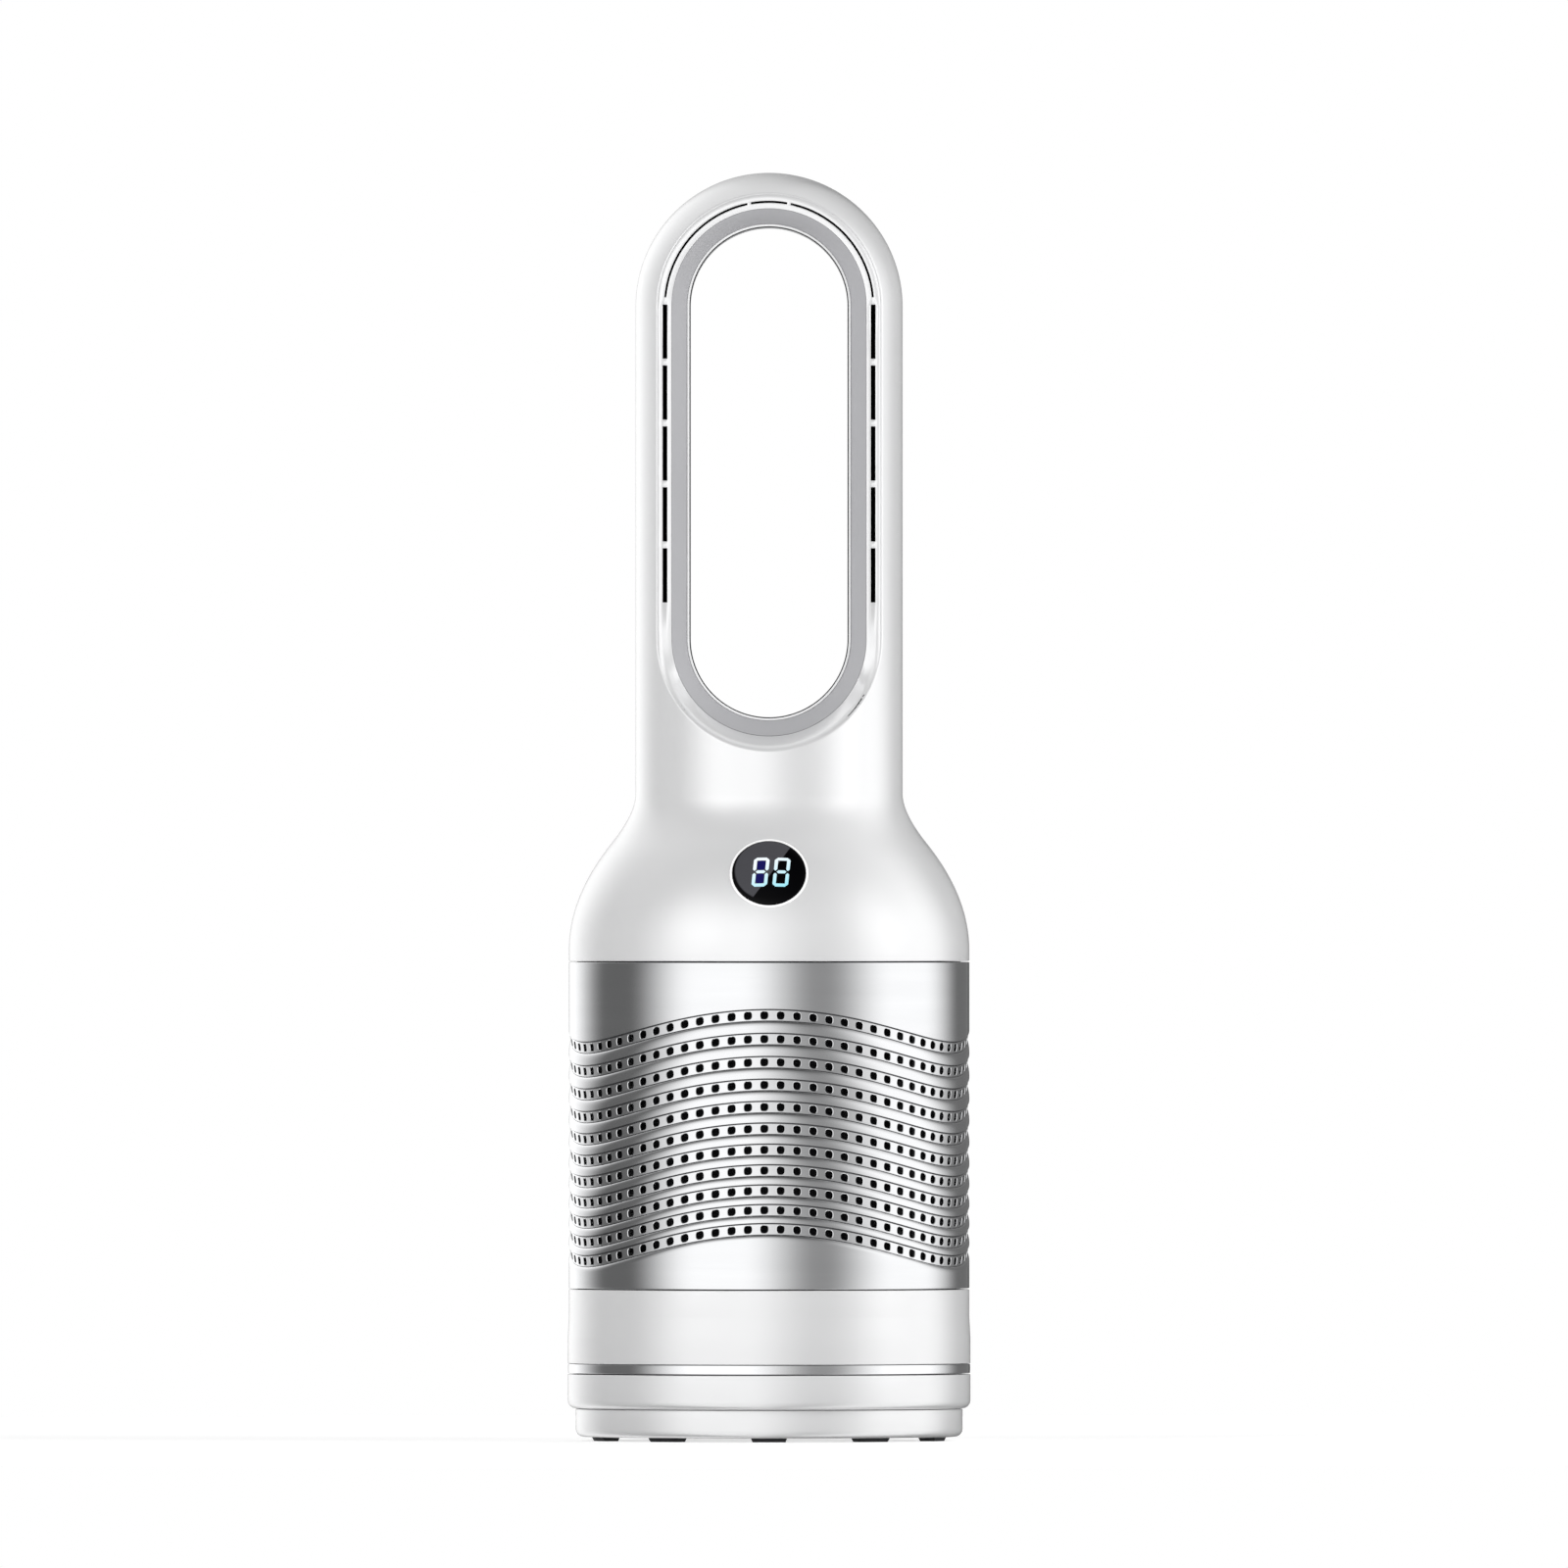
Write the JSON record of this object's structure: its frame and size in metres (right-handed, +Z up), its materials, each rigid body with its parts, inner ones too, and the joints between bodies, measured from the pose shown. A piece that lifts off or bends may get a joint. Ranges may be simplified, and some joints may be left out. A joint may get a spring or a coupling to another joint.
{
  "type": "bladeless fan",
  "caption": "Bladeless tower fan with a hollow slotted loop, a perforated metal intake drum, a round display and a base it swings on.",
  "frame": {"origin": "on the floor under the middle of the base, under the swing axis", "axes": "+Z up along the swing axis, -Y towards the front with the display, +X to the right seen from the front"},
  "size_m": [0.2158, 0.2158, 0.6792],
  "materials": {
    "white_plastic": "glossy moulded white",
    "drum_metal": "satin silver",
    "chrome": "polished",
    "grey_plastic": "satin grey",
    "dark_plastic": "moulded dark grey",
    "rubber": "matte black",
    "steel": "bare",
    "copper_winding": "enamelled windings on laminations",
    "circuit_board": "solder mask",
    "transformer_tape": "tape",
    "black_window": "polished black",
    "lit_digits": "lit white",
    "filter_fibre": "matted dark fibre"
  },
  "bodies": {
    "base": {"foot_plate": "white_plastic", "base_cover": "white_plastic", "ballast_plate": "steel", "turntable_bearing": "grey_plastic", "swing_gear": "grey_plastic", "power_inlet": "dark_plastic", "foot_pad_1": "rubber", "foot_pad_2": "rubber", "foot_pad_3": "rubber", "foot_pad_4": "rubber", "foot_pad_5": "rubber", "foot_pad_6": "rubber", "foot_pad_7": "rubber", "foot_pad_8": "rubber", "foot_pad_9": "rubber", "foot_pad_10": "rubber"},
    "tower": {"lower_housing": "white_plastic", "chrome_ring": "chrome", "hub_retainer": "steel", "control_board": "circuit_board", "transformer": "transformer_tape", "electronics_lid": "dark_plastic", "drum_grille": "drum_metal", "inner_cage": "dark_plastic", "filter_sleeve": "filter_fibre", "casing_seal": "rubber", "motor_casing": "dark_plastic", "intake_bell": "dark_plastic", "motor_stator": "copper_winding", "motor_end_cap": "steel", "lower_motor_bearing": "steel", "upper_motor_bearing": "steel", "tail_cone": "dark_plastic", "front_shell": "white_plastic", "rear_shell": "white_plastic", "nozzle_ring": "white_plastic", "bevel_ring": "grey_plastic", "opening_liner": "white_plastic", "display_bezel": "white_plastic", "display_window": "black_window", "display_digits": "lit_digits", "display_board": "circuit_board", "swing_motor": "steel"},
    "impeller": {"impeller": "grey_plastic", "motor_shaft": "steel", "motor_rotor": "dark_plastic"},
    "pinion": {"swing_pinion": "steel"}
  },
  "joints": [
    {"name": "swing", "type": "hinge", "parent": "base", "child": "tower", "pos_m": [0, 0, 0.037], "axis": [0, 0, 1], "range_deg": [-40, 40]},
    {"name": "pinion_spin", "type": "hinge", "parent": "tower", "child": "pinion", "pos_m": [0, -0.044, 0.036], "axis": [0, 0, 1], "range_deg": [-94, 94]},
    {"name": "impeller_spin", "type": "hinge", "parent": "tower", "child": "impeller", "pos_m": [0, 0, 0.16], "axis": [0, 0, 1], "continuous": true}
  ],
  "couplings": [
    {"joint": "pinion_spin", "follows": "swing", "ratio": 2.3333}
  ]
}
